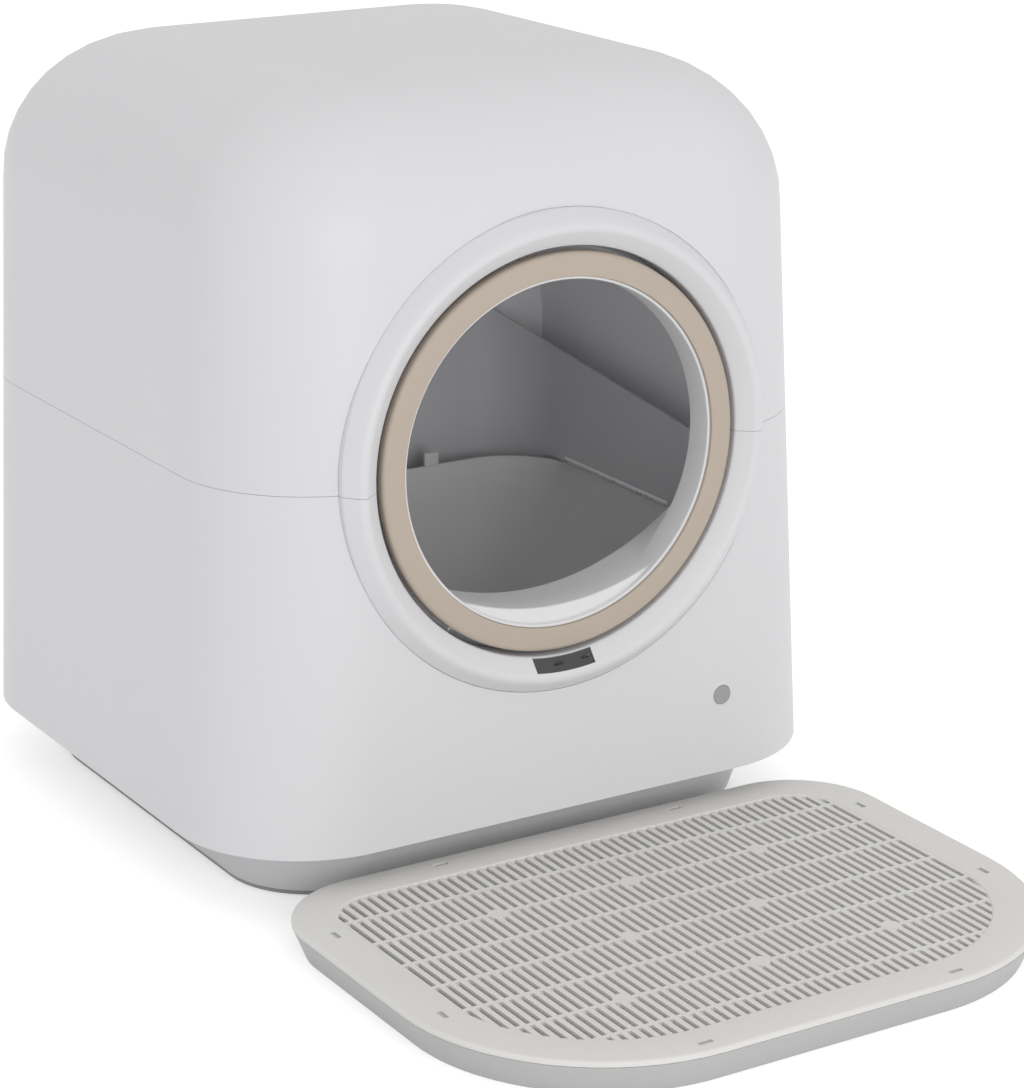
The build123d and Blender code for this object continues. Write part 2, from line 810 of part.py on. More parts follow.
with BuildPart() as waste_drawer:
    with BuildSketch(Plane.XY.offset(drawer_low)):
        with Locations(((casing_width / 2 - drawer_reach) / 2, drawer_mid_y)):
            Rectangle(casing_width / 2 + drawer_reach, drawer_length)
    extrude(amount=drawer_rim - drawer_low)
    add(lower_inner_block, mode=Mode.INTERSECT)
    with BuildSketch(Plane.XY.offset(drawer_low + drawer_wall)):
        with Locations(((casing_width / 2 - drawer_front_wall - drawer_reach) / 2, drawer_mid_y)):
            RectangleRounded(casing_width / 2 - drawer_front_wall + drawer_reach - 2 * drawer_wall,
                             drawer_length - 2 * drawer_wall, 12)
    extrude(amount=drawer_rim, mode=Mode.SUBTRACT)
    add(pocket(pocket_depth), mode=Mode.SUBTRACT)
save(waste_drawer, "waste_drawer")

with BuildPart() as drawer_face:
    add(lower_outer_block)
    add(lower_inner_block, mode=Mode.SUBTRACT)
    add(drawer_opening(0), mode=Mode.INTERSECT)
    add(pocket(pocket_depth), mode=Mode.SUBTRACT)
save(drawer_face, "drawer_face")

# Power button and its switch board
button_front = front + button_face - button_proud
stem_end = button_front + lower_wall + button_flange + button_stem
with BuildPart() as power_button:
    with BuildSketch(button_plane.offset(front - button_front)):
        Circle(button_radius)
    extrude(amount=-(lower_wall + button_flange))
    with BuildSketch(button_plane.offset(front - stem_end)):
        Rectangle(2 * button_cross, button_cross)
        Rectangle(button_cross, 2 * button_cross)
    extrude(amount=button_stem)
save(power_button, "power_button")

with BuildPart() as button_switch:
    with BuildSketch(Plane.XY.offset(cradle_top)):
        with Locations((button_x, stem_end + button_travel + switch_depth / 2 + rest_gap)):
            Rectangle(switch_width, switch_depth)
    extrude(amount=button_height + switch_width / 2 - cradle_top)
    with BuildSketch(Plane.XY.offset(cradle_top + mount_plate)):
        with Locations((button_x, stem_end + button_travel + switch_board + switch_depth / 2 + rest_gap)):
            Rectangle(switch_width, switch_depth)
    extrude(amount=button_height, mode=Mode.SUBTRACT)
save(button_switch, "button_switch")

# Power inlet
socket_face = casing_rear - rear_face(socket_height)
with BuildPart() as power_socket:
    with BuildSketch(socket_plane):
        Rectangle(socket_body, socket_body)
    extrude(amount=-(socket_face + lower_wall + socket_body))
    add(lower_inner_block, mode=Mode.INTERSECT)
    with BuildSketch(socket_plane):
        Circle(socket_radius)
    extrude(amount=-(socket_face + lower_wall + socket_body * 0.7), mode=Mode.SUBTRACT)
save(power_socket, "power_socket")

with BuildPart() as control_board:
    with BuildSketch(Plane.XY.offset(cradle_top)):
        with Locations((board_x, casing_rear - board_from_rear)):
            with GridLocations(board_width - board_spacer, board_length - board_spacer, 2, 2):
                Rectangle(board_spacer, board_spacer)
    extrude(amount=board_lift)
    with BuildSketch(Plane.XY.offset(cradle_top + board_lift)):
        with Locations((board_x, casing_rear - board_from_rear)):
            Rectangle(board_width, board_length)
    extrude(amount=board_thickness)
save(control_board, "control_board")


# Step mat


def mat_outline(level, inset):
    """Outline of the mat at a height, moved in by an inset, with wide corners in front."""
    with BuildSketch(Plane.XY.offset(level)) as outline:
        with Locations((0, mat_middle)):
            Rectangle(mat_width - 2 * inset, mat_length - 2 * inset)
        fillet(outline.vertices().group_by(Axis.Y)[0], mat_front_corner - inset)
        fillet(outline.vertices().group_by(Axis.Y)[-1], mat_rear_corner - inset)
    return outline.sketch


mat_split = mat_height - mat_top_thickness
mat_top_low = mat_split + rest_gap
mat_slope = degrees(atan2(mat_taper, mat_split))
clip_places = [(sx * (mat_width / 2 - side_clip_margin), mat_middle + y, 90)
               for sx in (-1, 1) for y in (side_clip_front, side_clip_rear)]
clip_places += [(sx * end_clip_half_spacing, mat_middle + sy * (mat_length / 2 - end_clip_margin), 0)
                for sx in (-1, 1) for sy in (-1, 1)]

with BuildPart() as mat_tray:
    extrude(mat_outline(0, mat_taper), amount=mat_split, taper=-mat_slope)
    extrude(mat_outline(mat_wall, mat_taper + mat_wall), amount=mat_height, taper=-mat_slope,
            mode=Mode.SUBTRACT)
    with BuildSketch(Plane.XY):
        with Locations((0, mat_middle)):
            with GridLocations(mat_foot_spacing, mat_foot_spacing * 0.7, 2, 2):
                Rectangle(foot_size, foot_size)
    extrude(amount=foot_recess, mode=Mode.SUBTRACT)
    with BuildSketch(Plane.XY.offset(mat_wall)):
        for x, y, turn in clip_places:
            with Locations(Location((x, y, 0), (0, 0, turn))):
                Rectangle(clip_length - 2 * clip_gap, clip_width - 2 * clip_gap)
    extrude(amount=mat_height - mat_wall - clip_sunk)
    with BuildSketch(Plane.XY.offset(mat_wall)):
        with Locations((0, mat_middle - rib_shift)):
            with GridLocations(0, rib_spacing, 1, rib_count):
                Rectangle(rib_length, rib_width)
        add(mat_outline(mat_wall, mat_rim_width), mode=Mode.INTERSECT)
    extrude(amount=mat_split - mat_wall)
save(mat_tray, "mat_tray")

with BuildPart() as mat_feet:
    with BuildSketch(Plane.XY):
        with Locations((0, mat_middle)):
            with GridLocations(mat_foot_spacing, mat_foot_spacing * 0.7, 2, 2):
                Rectangle(foot_size, foot_size)
    extrude(amount=foot_recess)
save(mat_feet, "mat_feet")

with BuildPart() as mat_grille:
    extrude(mat_outline(mat_top_low, 0), amount=mat_height - mat_top_low)
    chamfer(mat_grille.faces().sort_by(Axis.Z)[-1].edges(), 1.5)
    extrude(mat_outline(mat_height - mat_field_drop, mat_rim_width), amount=mat_top_thickness,
            mode=Mode.SUBTRACT)
    with BuildSketch(Plane.XY.offset(mat_split)):
        with Locations((0, mat_middle)):
            with GridLocations(slot_pitch, 0, int((mat_width - 2 * mat_rim_width) / slot_pitch), 1):
                Rectangle(slot_width, mat_length)
        add(mat_outline(mat_split, mat_rim_width + slot_margin), mode=Mode.INTERSECT)
    extrude(amount=mat_top_thickness, mode=Mode.SUBTRACT)
    with BuildSketch(Plane.XY.offset(mat_split)):
        for x, y, turn in clip_places:
            with Locations(Location((x, y, 0), (0, 0, turn))):
                Rectangle(clip_length, clip_width)
    extrude(amount=mat_top_thickness, mode=Mode.SUBTRACT)
save(mat_grille, "mat_grille")
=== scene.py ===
"""Looks of the self-cleaning litter box: a white casing, a turning drum and a slatted step mat."""

import json
from math import hypot, pi, radians, tan

import bmesh
import bpy
from bmesh.types import BMEdge, BMFace, BMVert
from mathutils import Matrix, Vector


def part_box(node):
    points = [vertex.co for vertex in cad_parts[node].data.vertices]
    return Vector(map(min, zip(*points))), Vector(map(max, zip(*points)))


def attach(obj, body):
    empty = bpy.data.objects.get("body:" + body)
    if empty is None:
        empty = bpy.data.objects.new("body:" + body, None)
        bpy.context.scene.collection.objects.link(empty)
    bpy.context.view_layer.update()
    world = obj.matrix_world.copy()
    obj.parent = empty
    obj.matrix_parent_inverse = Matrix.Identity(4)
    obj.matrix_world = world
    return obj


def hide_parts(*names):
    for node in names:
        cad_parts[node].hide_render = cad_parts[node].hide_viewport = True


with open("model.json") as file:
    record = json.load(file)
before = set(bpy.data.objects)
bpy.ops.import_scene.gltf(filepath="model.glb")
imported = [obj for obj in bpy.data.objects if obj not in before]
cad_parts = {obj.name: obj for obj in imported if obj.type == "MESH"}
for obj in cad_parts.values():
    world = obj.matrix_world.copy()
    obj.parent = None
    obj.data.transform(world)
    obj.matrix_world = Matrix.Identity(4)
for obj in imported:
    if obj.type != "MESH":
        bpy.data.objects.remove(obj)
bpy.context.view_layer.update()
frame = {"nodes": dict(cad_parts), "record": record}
nodes = frame["nodes"]
body_of = {node: body for body, members in frame["record"]["behaviour"]["bodies"].items() for node in members}
slot_of = {entry["node"]: entry["material_slot"] for entry in frame["record"]["subparts"]}

# Places taken from the frame, in metres
ring_low, ring_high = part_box("entry_ring")
ENTRY_Y = ring_low.y
AXIS_Z = (ring_low.z + ring_high.z) / 2
casing_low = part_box("lower_casing")[0]
FRONT = casing_low.y
CASING_FOOT = casing_low.z
SEAM_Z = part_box("upper_cover")[0].z
mat_low, mat_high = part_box("mat_grille")
MAT_MIDDLE_Y = (mat_low.y + mat_high.y) / 2

# Sizes of the finer forms are in millimetres. Depths count from the entry ring's front into the drum,
# radii and heights from the drum's axis.
MM = 0.001
FRONT_DRAFT = radians(1)
MOULDED_WALL = 2.2
SMALL_ROUND = 1.2
SPIN_STEPS = 160

# Bezel round the entry, and the display let into its inner flank
BEZEL_OUTER = 175
BEZEL_CREST = 164
BEZEL_HOLE = 149
BEZEL_PEAK = 10.3
BEZEL_EDGE = 2
BEZEL_WALL = 2.5
BEZEL_CREST_WALL = 4.8
BEZEL_FOOT = 16
BEZEL_SLEEVE = 20
BEZEL_SHAPED = 12
WINDOW_HALF = 24.6
FLANK_OUTWARD = 0.72
FLANK_INWARD = 0.7
DISPLAY_DEPTHS = (-7.2, 1.3)
DISPLAY_RADII = (149.8, 161.5)
DISPLAY_RECESS = 3.2
GLASS_SHIFT = 0.5
LENSES = ((-4, 4.2), (18.5, 3.6))
LENS_RADIUS = 155.2
LENS_DEPTH = -2.2
LENS_HEIGHT = 0.9
LENS_TAPER = 0.72
LENS_TURN = radians(134)

# Entry ring and throat
RING_OUTER = 145
RING_INNER = 127.5
RING_DEPTH = 9
THROAT_INNER = 125.2
THROAT_LIP = 2.2
THROAT_DEPTH = 25
FLANGE_OUTER = 138
FLANGE_THICKNESS = 3

# Litter guard
GUARD_RADIUS = 200
GUARD_STEPS = 240
GUARD_CENTRE = 86.5
GUARD_NEAR = 7
GUARD_NECK = 25.6
GUARD_FAR = 49
GUARD_HALF_NEAR = 82
GUARD_HALF_FAR = 113
GUARD_SUNK = 0.2
GUARD_FOLD = 1.6
GUARD_CORNER = 4.5

# Tub inside the drum
DRUM_INSIDE = 192.5
TUB_HALF = 167
TUB_NEAR = 50
TUB_FAR = 308
TUB_NEAR_CORNER = 46
TUB_FAR_CORNER = 60
RIM_TOP = -95
RIM_BAND = 11
TUB_DEPTH = 84
TUB_STEPS = 9
TUB_STRIP = 10
UNDER_GUARD = 75
GUARD_GAP = 1.5
TAB_SIZE = (13, 3, 12)
TAB_X = 70
TAB_LIFT = 5

# Divider wall; its top edge runs from a near to a far end on the right side, each a depth and a height
WALL_HALF = 167.6
WALL_NEAR = 76
WALL_BACK = 337
WALL_LEFT = -133
WALL_CORNER = 60
WALL_FOOT = RIM_TOP - 16
WALL_TOP = 120
PAST_LIMITS = 200
TOP_EDGE_NEAR = (79.3, -26.4)
TOP_EDGE_FAR = (356.4, 6.2)

# Sieve at the divider's foot
SIEVE_NEAR = 112
SIEVE_FAR = 258
SIEVE_TOP = -90
SIEVE_BARS = 30
BAR_SIZE = (1.8, 2.8, 5)
BAR_X = 168
RAIL_WIDTH = 4.4
RAIL_HEIGHT = 3.4
RAIL_X = 167.2
RAIL_Z = -91.2

# Step mat's top
MAT_RIM = 33
MAT_FRONT_CORNER = 150
MAT_REAR_CORNER = 70
MAT_CORNER_STEPS = 16
RIM_ROUND = 2.4
SLOT_PITCH = 7.9
SLOT_WIDTH = 3.6
FIELD_SLOTS = 52
FIELD_LAP = 2
FIELD_DROP = 0.6
FIELD_THICKNESS = 3.2
END_BAR = 2
CUT_MARGIN = 10
CUT_HEIGHT = 60
RIB_PITCH = 39.7
RIB_WIDTH = 3.2
RIB_SHIFT = -6
PAD_ROWS = ((-92, (-110, 0, 110)), (-170, (-52, 54)), (-249, (-110, 0, 110)))
PAD_RADIUS = 7.5
PAD_TOP_RADIUS = 7
PAD_HEIGHT = 3.4
PAD_DROP = 2.2
HOLE_SIZE = (11, 4.2, 20)
HOLE_FROM_SIDE = 20
HOLE_FROM_END = 12.5
HOLE_ROWS = (-45, 99)
HOLE_ACROSS = 101

# Lip round the power button, as depths behind the casing's front and radii
LIP_PROFILE = ((1, 7.6), (-0.35, 7.6), (-0.35, 8.9), (0.4, 9.6), (1, 9.6))
LIP_STEPS = 48


def from_ring(x, depth, height):
    """Point in metres from a place across, a depth and a height in millimetres."""
    return Vector((x * MM, ENTRY_Y + depth * MM, AXIS_Z + height * MM))


def front_of_casing(height):
    """The casing's drafted front face at a height, in metres."""
    return FRONT + tan(FRONT_DRAFT) * (height - CASING_FOOT)


# Camera, from the ring's two outlines in the photograph
PICTURE_HEIGHT = 1088
FOCAL_PIXELS = 3275
SENSOR = 36
CAMERA_FROM_RING = (-1187, -1869, 641)
CAMERA_TURN = radians(31.49)
CAMERA_TILT = radians(17.71)


def add_camera():
    """The photograph's viewpoint and framing."""
    data = bpy.data.cameras.new("camera")
    data.sensor_width = SENSOR
    data.lens = FOCAL_PIXELS * SENSOR / PICTURE_HEIGHT
    data.clip_end = 50
    camera = bpy.data.objects.new("camera", data)
    camera.location = from_ring(*CAMERA_FROM_RING)
    camera.rotation_euler = (radians(90) - CAMERA_TILT, 0, -CAMERA_TURN)
    bpy.context.scene.collection.objects.link(camera)
    bpy.context.scene.camera = camera


# Finishes


def feed(tree, value, socket):
    """Gives a socket an output of another node, or a constant."""
    if isinstance(value, bpy.types.NodeSocket):
        tree.links.new(value, socket)
    else:
        socket.default_value = value


def new_group(name, inputs, outputs):
    """Empty shader group with named sockets; each is (name, kind, value)."""
    group = bpy.data.node_groups.new(name, "ShaderNodeTree")
    for label, kind, value in inputs:
        group.interface.new_socket(name=label, in_out="INPUT", socket_type=kind).default_value = value
    for label, kind in outputs:
        group.interface.new_socket(name=label, in_out="OUTPUT", socket_type=kind)
    return group, group.nodes.new("NodeGroupInput"), group.nodes.new("NodeGroupOutput")


def add_noise(tree, place, scale, detail=2):
    """Noise over the object's own coordinates; the scale is a number or an output."""
    noise = tree.nodes.new("ShaderNodeTexNoise")
    noise.inputs["Detail"].default_value = detail
    feed(tree, place, noise.inputs["Vector"])
    feed(tree, scale, noise.inputs["Scale"])
    return noise.outputs["Fac"]


def add_math(tree, operation, first, second):
    """One sum; each side is a number or an output."""
    node = tree.nodes.new("ShaderNodeMath")
    node.operation = operation
    feed(tree, first, node.inputs[0])
    feed(tree, second, node.inputs[1])
    return node.outputs["Value"]


def add_range(tree, value, low, high):
    """Stretches a value's range to run from 0 to 1, clamped."""
    node = tree.nodes.new("ShaderNodeMapRange")
    node.inputs["From Min"].default_value = low
    node.inputs["From Max"].default_value = high
    feed(tree, value, node.inputs["Value"])
    return node.outputs["Result"]


def add_mix(tree, factor, first, second):
    """Mixes two colours; each is a colour or an output."""
    node = tree.nodes.new("ShaderNodeMix")
    node.data_type = "RGBA"
    feed(tree, factor, node.inputs["Factor"])
    feed(tree, first, node.inputs["A"])
    feed(tree, second, node.inputs["B"])
    return node.outputs["Result"]


def make_moulding():
    """Moulded plastic: fine spark texture, slow mottling of tone, uneven gloss."""
    group, given, out = new_group(
        "moulding",
        [("Colour", "NodeSocketColor", (0.8, 0.8, 0.8, 1)), ("Grain Scale", "NodeSocketFloat", 2200.0),
         ("Mottle", "NodeSocketFloat", 0.03), ("Roughness", "NodeSocketFloat", 0.45),
         ("Gloss Spread", "NodeSocketFloat", 0.06)],
        [("Colour", "NodeSocketColor"), ("Roughness", "NodeSocketFloat"), ("Height", "NodeSocketFloat")])
    place = group.nodes.new("ShaderNodeTexCoord").outputs["Object"]
    fine = add_noise(group, place, given.outputs["Grain Scale"], 1)
    slow = add_noise(group, place, 9.0, 3)
    shade = group.nodes.new("ShaderNodeHueSaturation")
    drop = add_math(group, "MULTIPLY", given.outputs["Mottle"], slow)
    group.links.new(add_math(group, "SUBTRACT", 1.0, drop), shade.inputs["Value"])
    group.links.new(given.outputs["Colour"], shade.inputs["Color"])
    swing = add_math(group, "MULTIPLY", given.outputs["Gloss Spread"], add_math(group, "SUBTRACT", slow, 0.5))
    group.links.new(shade.outputs["Color"], out.inputs["Colour"])
    group.links.new(add_math(group, "ADD", given.outputs["Roughness"], swing), out.inputs["Roughness"])
    group.links.new(fine, out.inputs["Height"])
    return group


def make_handling():
    """Faint rubbed patches and hairline scuffs where hands and paws go."""
    group, given, out = new_group(
        "handling",
        [("Colour", "NodeSocketColor", (0.8, 0.8, 0.8, 1)), ("Roughness", "NodeSocketFloat", 0.45),
         ("Amount", "NodeSocketFloat", 0.4)],
        [("Colour", "NodeSocketColor"), ("Roughness", "NodeSocketFloat")])
    place = group.nodes.new("ShaderNodeTexCoord").outputs["Object"]
    stretch = group.nodes.new("ShaderNodeMapping")
    stretch.inputs["Rotation"].default_value = (0.4, 0.9, 0.3)
    stretch.inputs["Scale"].default_value = (1, 26, 26)
    group.links.new(place, stretch.inputs["Vector"])
    hair = add_range(group, add_noise(group, stretch.outputs["Vector"], 22.0, 4), 0.68, 0.74)
    patch = add_range(group, add_noise(group, place, 14.0, 2), 0.5, 0.66)
    mask = add_math(group, "MULTIPLY", add_math(group, "MULTIPLY", hair, patch), given.outputs["Amount"])
    worn = add_mix(group, mask, given.outputs["Colour"], (0.62, 0.61, 0.6, 1))
    duller = add_math(group, "ADD", given.outputs["Roughness"], add_math(group, "MULTIPLY", mask, 0.25))
    group.links.new(worn, out.inputs["Colour"])
    group.links.new(duller, out.inputs["Roughness"])
    return group


def make_dust():
    """Litter dust that settles on faces that look up."""
    group, given, out = new_group(
        "dust",
        [("Colour", "NodeSocketColor", (0.5, 0.5, 0.5, 1)), ("Roughness", "NodeSocketFloat", 0.5),
         ("Amount", "NodeSocketFloat", 0.3), ("Dust", "NodeSocketColor", (0.56, 0.54, 0.5, 1))],
        [("Colour", "NodeSocketColor"), ("Roughness", "NodeSocketFloat")])
    place = group.nodes.new("ShaderNodeTexCoord")
    parts = group.nodes.new("ShaderNodeSeparateXYZ")
    group.links.new(place.outputs["Normal"], parts.inputs["Vector"])
    upward = add_range(group, parts.outputs["Z"], 0.3, 0.95)
    specks = add_range(group, add_noise(group, place.outputs["Object"], 900.0, 2), 0.45, 0.7)
    drift = add_range(group, add_noise(group, place.outputs["Object"], 12.0, 3), 0.35, 0.7)
    cover = add_math(group, "MULTIPLY", add_math(group, "MULTIPLY", specks, drift), upward)
    mask = add_math(group, "MULTIPLY", cover, given.outputs["Amount"])
    dusty = add_mix(group, mask, given.outputs["Colour"], given.outputs["Dust"])
    duller = add_math(group, "ADD", given.outputs["Roughness"], add_math(group, "MULTIPLY", mask, 0.4))
    group.links.new(dusty, out.inputs["Colour"])
    group.links.new(duller, out.inputs["Roughness"])
    return group


moulding = make_moulding()
handling = make_handling()
dust = make_dust()


def place_group(tree, group, **values):
    """Group node with its inputs given by name, underscores for spaces."""
    node = tree.nodes.new("ShaderNodeGroup")
    node.node_tree = group
    for label, value in values.items():
        feed(tree, value, node.inputs[label.replace("_", " ")])
    return node.outputs


def add_bump(tree, height, strength, distance):
    """Bump on the material's shader from a height; the distance is in metres."""
    bump = tree.nodes.new("ShaderNodeBump")
    bump.inputs["Strength"].default_value = strength
    bump.inputs["Distance"].default_value = distance
    tree.links.new(height, bump.inputs["Height"])
    tree.links.new(bump.outputs["Normal"], tree.nodes["Principled BSDF"].inputs["Normal"])


def new_material(name):
    """New material with its node tree and its shader's inputs."""
    material = bpy.data.materials.new(name)
    material.use_nodes = True
    return material, material.node_tree, material.node_tree.nodes["Principled BSDF"].inputs


def plastic(name, colour, roughness=0.45, grain=2200.0, depth=0.06, mottle=0.03, worn=0.4, dusty=0.0,
            coat=0.0):
    """Moulded plastic or rubber with grain, handling marks and dust."""
    material, tree, shader = new_material(name)
    body = place_group(tree, moulding, Colour=(*colour, 1), Grain_Scale=grain, Mottle=mottle,
                       Roughness=roughness)
    look = place_group(tree, handling, Colour=body["Colour"], Roughness=body["Roughness"], Amount=worn)
    if dusty:
        look = place_group(tree, dust, Colour=look["Colour"], Roughness=look["Roughness"], Amount=dusty)
    add_bump(tree, body["Height"], depth, 0.0002)
    tree.links.new(look["Colour"], shader["Base Color"])
    tree.links.new(look["Roughness"], shader["Roughness"])
    shader["Coat Weight"].default_value = coat
    shader["Coat Roughness"].default_value = 0.1
    return material


def brushed_metal(name, colour, roughness=0.32):
    """Drawn steel with fine lines along the drum's axis."""
    material, tree, shader = new_material(name)
    shader["Metallic"].default_value = 1
    place = tree.nodes.new("ShaderNodeTexCoord").outputs["Object"]
    stretch = tree.nodes.new("ShaderNodeMapping")
    stretch.inputs["Scale"].default_value = (1, 0.02, 1)
    tree.links.new(place, stretch.inputs["Vector"])
    lines = add_noise(tree, stretch.outputs["Vector"], 1600.0, 2)
    body = place_group(tree, moulding, Colour=(*colour, 1), Roughness=roughness, Mottle=0.12)
    streaks = add_math(tree, "MULTIPLY", lines, 0.14)
    tree.links.new(add_math(tree, "ADD", body["Roughness"], streaks), shader["Roughness"])
    tree.links.new(body["Colour"], shader["Base Color"])
    add_bump(tree, lines, 0.08, 0.0001)
    return material


finishes = {
    "casing_white": plastic("casing_white", (0.725, 0.725, 0.74), 0.42, depth=0.05, mottle=0.02, worn=0.15),
    "window_black": plastic("window_black", (0.04, 0.039, 0.042), 0.2, depth=0.01, worn=0.1, coat=0.6),
    "board_green": plastic("board_green", (0.04, 0.20, 0.10), 0.4, grain=900.0, mottle=0.2),
    "plinth_grey": plastic("plinth_grey", (0.66, 0.66, 0.67), 0.5, worn=0.5, dusty=0.2),
    "foot_rubber": plastic("foot_rubber", (0.36, 0.36, 0.36), 0.75, grain=700.0, depth=0.2, dusty=0.3),
    "frame_grey": plastic("frame_grey", (0.50, 0.50, 0.51), 0.5, grain=1400.0, dusty=0.4),
    "shaft_steel": brushed_metal("shaft_steel", (0.55, 0.55, 0.56), 0.3),
    "motor_steel": brushed_metal("motor_steel", (0.38, 0.38, 0.39), 0.4),
    "gear_ivory": plastic("gear_ivory", (0.72, 0.70, 0.64), 0.38, grain=1200.0, worn=0.5),
    "ring_beige": plastic("ring_beige", (0.50, 0.425, 0.355), 0.5, depth=0.09, worn=0.25),
    "throat_white": plastic("throat_white", (0.78, 0.78, 0.785), 0.42, worn=0.35),
    "drum_grey": plastic("drum_grey", (0.92, 0.91, 0.93), 0.5, grain=1500.0, dusty=0.4),
    "liner_grey": plastic("liner_grey", (0.60, 0.60, 0.59), 0.55, grain=1100.0, depth=0.12, dusty=0.5),
    "divider_shade": plastic("divider_shade", (0.55, 0.55, 0.57), 0.5, grain=1500.0, dusty=0.3),
    "roller_rubber": plastic("roller_rubber", (0.05, 0.05, 0.05), 0.75, grain=900.0, depth=0.2, dusty=0.3),
    "button_grey": plastic("button_grey", (0.35, 0.36, 0.365), 0.4, depth=0.03),
    "mat_white": plastic("mat_white", (0.76, 0.75, 0.725), 0.55, depth=0.10, dusty=0.25),
    "tray_grey": plastic("tray_grey", (0.52, 0.52, 0.52), 0.55, depth=0.10, dusty=0.2),
}
for node, slot in slot_of.items():
    mesh = nodes[node].data
    mesh.materials.clear()
    mesh.materials.append(finishes[slot])


# Steps that the new pieces share


def make_piece(name, bm, node, sharp=35, replaced=True, finish=None):
    """Turns a finished bmesh into a piece that rides with a node's body and wears the finish of the node's
    slot, or a given finish.
    """
    for face in bm.faces:
        face.smooth = True
    for edge in bm.edges:
        edge.smooth = len(edge.link_faces) == 2 and edge.calc_face_angle(0) < radians(sharp)
    mesh = bpy.data.meshes.new(name)
    bm.to_mesh(mesh)
    bm.free()
    piece = bpy.data.objects.new(name, mesh)
    bpy.context.scene.collection.objects.link(piece)
    mesh.materials.append(finishes[finish or slot_of[node]])
    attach(piece, body_of[node])
    if replaced:
        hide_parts(node)
    return piece


def merged_copy(node):
    """Welded copy of a CAD node's loose triangles."""
    bm = bmesh.new()
    bm.from_mesh(nodes[node].data)
    for layer in list(bm.loops.layers.float_vector.values()):
        bm.loops.layers.float_vector.remove(layer)
    bmesh.ops.remove_doubles(bm, verts=bm.verts, dist=0.00002)
    bmesh.ops.dissolve_degenerate(bm, edges=bm.edges, dist=0.00001)
    return bm


def of_kind(items, kind):
    """The vertices, the edges or the faces among what an operator gives back."""
    return [item for item in items if isinstance(item, kind)]


def from_axis(place):
    """Distance of a point from the drum's axis, in metres."""
    return hypot(place.x, place.z - AXIS_Z)


def cut_along(bm, place, normal, drop_front=False, drop_behind=False):
    """Cuts a body along a plane; the side that the normal points to, or the other, can be dropped."""
    return bmesh.ops.bisect_plane(bm, geom=bm.verts[:] + bm.edges[:] + bm.faces[:], plane_co=place,
                                  plane_no=normal, clear_outer=drop_front, clear_inner=drop_behind)


def round_off(bm, geom, radius, segments, affect="EDGES", clamp=False):
    """Rounds edges or corners by a radius in millimetres."""
    bmesh.ops.bevel(bm, geom=geom, offset=radius * MM, segments=segments, profile=0.5, affect=affect,
                    material=-1, clamp_overlap=clamp)


def raise_faces(bm, faces, rise):
    """Extrudes faces straight up or down into a closed body."""
    grown = bmesh.ops.extrude_face_region(bm, geom=faces)
    bmesh.ops.translate(bm, vec=(0, 0, rise), verts=of_kind(grown["geom"], BMVert))
    bmesh.ops.recalc_face_normals(bm, faces=bm.faces)


def add_block(bm, size, place, turn=0):
    """Block of a size in millimetres about a point in metres, turned about Z; gives its corners."""
    made = bmesh.ops.create_cube(bm, size=1)["verts"]
    bmesh.ops.scale(bm, vec=[length * MM for length in size], verts=made)
    bmesh.ops.rotate(bm, cent=(0, 0, 0), matrix=Matrix.Rotation(turn, 3, "Z"), verts=made)
    bmesh.ops.translate(bm, vec=place, verts=made)
    return made


def spin_outline(bm, centre, steps):
    """Turns a closed outline about an axis along Y."""
    bmesh.ops.delete(bm, geom=bm.faces[:], context="FACES_ONLY")
    bmesh.ops.spin(bm, geom=bm.verts[:] + bm.edges[:], cent=centre, axis=(0, 1, 0), angle=2 * pi, steps=steps,
                   use_merge=True)
    bmesh.ops.remove_doubles(bm, verts=bm.verts, dist=0.000001)
    bmesh.ops.recalc_face_normals(bm, faces=bm.faces)


def spun_profile(points):
    """Closed profile of (depth, radius, rounding) corners, turned about the drum's axis."""
    bm = bmesh.new()
    corners = [bm.verts.new(from_ring(0, depth, radius)) for depth, radius, _ in points]
    bm.faces.new(corners)
    for corner, (_, _, rounding) in zip(corners, points):
        if rounding:
            round_off(bm, [corner], rounding, 5, "VERTICES")
    spin_outline(bm, from_ring(0, 0, 0), SPIN_STEPS)
    return bm


def rounded_plan(bm, half_width, near, far, near_corner, far_corner, height, segments=10):
    """Rounded rectangle as one face, in metres; its corners' radii are in millimetres."""
    corners = bmesh.ops.create_grid(bm, x_segments=1, y_segments=1, size=0.5)["verts"]
    middle = (near + far) / 2
    bmesh.ops.scale(bm, vec=(2 * half_width, far - near, 1), verts=corners)
    bmesh.ops.translate(bm, vec=(0, middle, height), verts=corners)
    ends = [([vert for vert in corners if vert.co.y < middle], near_corner),
            ([vert for vert in corners if vert.co.y > middle], far_corner)]
    for verts, radius in ends:
        round_off(bm, verts, radius, segments, "VERTICES")
    return bm.faces[:]


def cut_with(piece, cutter, operation):
    """Cuts a closed shape out of a piece, or keeps only what lies inside it."""
    mesh = bpy.data.meshes.new("cutter")
    cutter.to_mesh(mesh)
    cutter.free()
    tool = bpy.data.objects.new("cutter", mesh)
    bpy.context.scene.collection.objects.link(tool)
    cut = piece.modifiers.new("cut", "BOOLEAN")
    cut.object = tool
    cut.operation = operation
    cut.solver = "EXACT"
    bpy.context.view_layer.update()
    finished = bpy.data.meshes.new_from_object(piece.evaluated_get(bpy.context.evaluated_depsgraph_get()))
    piece.modifiers.clear()
    piece.data = finished
    bpy.data.objects.remove(tool)


# Casing, bezel and entry


